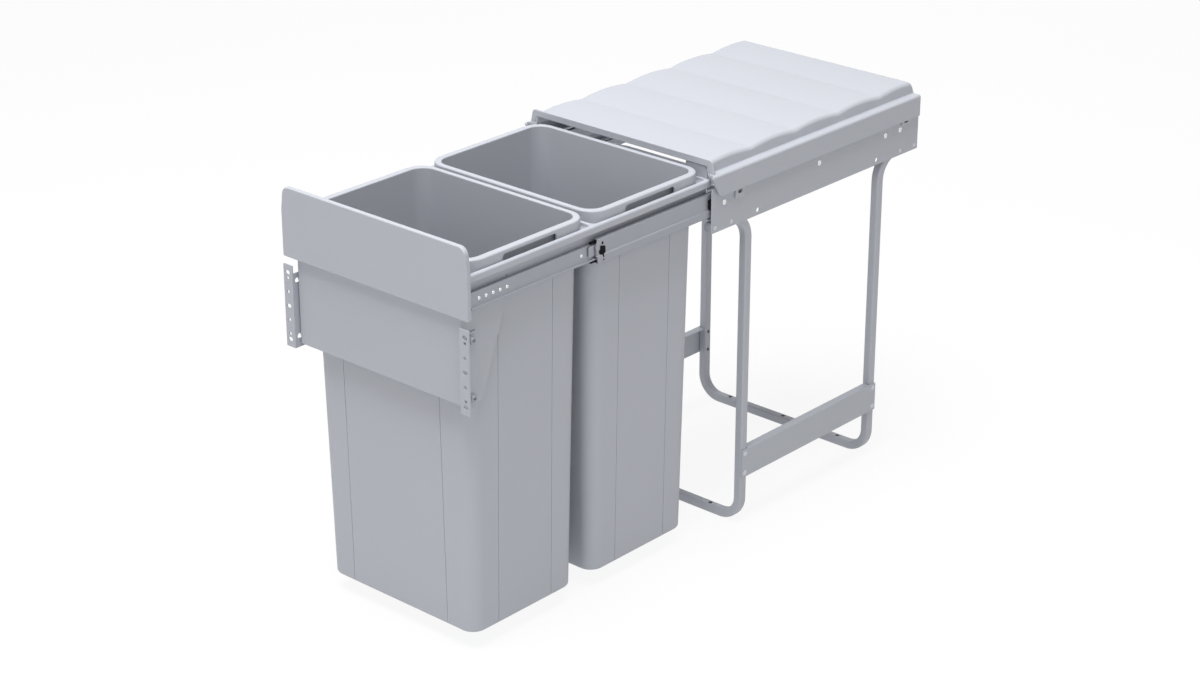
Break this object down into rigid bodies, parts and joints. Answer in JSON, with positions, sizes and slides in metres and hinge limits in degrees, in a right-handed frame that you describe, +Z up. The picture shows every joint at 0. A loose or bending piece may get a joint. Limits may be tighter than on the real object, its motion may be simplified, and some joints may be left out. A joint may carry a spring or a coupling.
{
  "type": "pull-out bin frame",
  "caption": "Narrow cabinet frame on bent-tube legs with an arched cover, whose ball slides carry lift-out waste bins, a front panel and adjustable door brackets.",
  "frame": {"origin": "on the cabinet floor, midway between the two bent legs, at the centre of the floor screws", "axes": "+X to the right seen from the front, +Y into the cabinet along the slides, +Z up; drawn fully pulled out"},
  "size_m": [0.262, 0.7136, 0.445],
  "materials": {
    "painted_steel": "satin silver-grey powder coat",
    "grey_plastic": "silver-grey moulded plastic with a fine satin sheen",
    "zinc_rail": "zinc-plated rolled steel",
    "bright_steel": "bright plated steel",
    "black_plastic": "black moulded plastic"
  },
  "bodies": {
    "cabinet_frame": {"side_plate_left": "painted_steel", "side_plate_right": "painted_steel", "front_leg": "painted_steel", "rear_leg": "painted_steel", "stretcher_left": "painted_steel", "stretcher_right": "painted_steel", "stretcher_rivets": "bright_steel", "plate_rivets": "bright_steel", "cover": "grey_plastic", "outer_rail_left": "zinc_rail", "outer_rail_right": "zinc_rail", "rail_bumper_left": "black_plastic", "rail_bumper_right": "black_plastic"},
    "middle_rails": {"middle_rail_left": "zinc_rail", "middle_rail_right": "zinc_rail", "rail_catch_left": "black_plastic", "rail_catch_right": "black_plastic"},
    "outer_ball_cages": {"outer_cage_left": "bright_steel", "outer_cage_right": "bright_steel", "outer_balls": "bright_steel"},
    "inner_ball_cages": {"inner_cage_left": "bright_steel", "inner_cage_right": "bright_steel", "inner_balls": "bright_steel"},
    "bin_carrier": {"inner_rail_left": "zinc_rail", "inner_rail_right": "zinc_rail", "rail_rivets": "bright_steel", "carrier_frame": "grey_plastic", "front_plate": "painted_steel", "front_panel": "grey_plastic", "panel_screws": "bright_steel", "bracket_screws": "bright_steel", "bracket_washers": "bright_steel"},
    "front_bin": {"front_bin": "grey_plastic"},
    "rear_bin": {"rear_bin": "grey_plastic"},
    "door_bracket_left": {"door_bracket_left": "painted_steel"},
    "door_bracket_right": {"door_bracket_right": "painted_steel"}
  },
  "joints": [
    {"name": "carrier_slide", "type": "slide", "parent": "cabinet_frame", "child": "bin_carrier", "axis": [0, 1, 0], "range_m": [0, 0.348]},
    {"name": "middle_slide", "type": "slide", "parent": "cabinet_frame", "child": "middle_rails", "axis": [0, 1, 0], "range_m": [0, 0.174]},
    {"name": "outer_cage_slide", "type": "slide", "parent": "cabinet_frame", "child": "outer_ball_cages", "axis": [0, 1, 0], "range_m": [0, 0.087]},
    {"name": "inner_cage_slide", "type": "slide", "parent": "cabinet_frame", "child": "inner_ball_cages", "axis": [0, 1, 0], "range_m": [0, 0.261]},
    {"name": "front_bin_lift", "type": "slide", "parent": "bin_carrier", "child": "front_bin", "axis": [0, 0, 1], "range_m": [0, 0.44]},
    {"name": "rear_bin_lift", "type": "slide", "parent": "bin_carrier", "child": "rear_bin", "axis": [0, 0, 1], "range_m": [0, 0.44]},
    {"name": "bracket_adjust_left", "type": "slide", "parent": "bin_carrier", "child": "door_bracket_left", "axis": [0, 1, 0], "range_m": [0, 0.005]},
    {"name": "bracket_adjust_right", "type": "slide", "parent": "bin_carrier", "child": "door_bracket_right", "axis": [0, 1, 0], "range_m": [0, 0.005]}
  ],
  "couplings": [
    {"joint": "middle_slide", "follows": "carrier_slide", "ratio": 0.5},
    {"joint": "outer_cage_slide", "follows": "carrier_slide", "ratio": 0.25},
    {"joint": "inner_cage_slide", "follows": "carrier_slide", "ratio": 0.75}
  ]
}
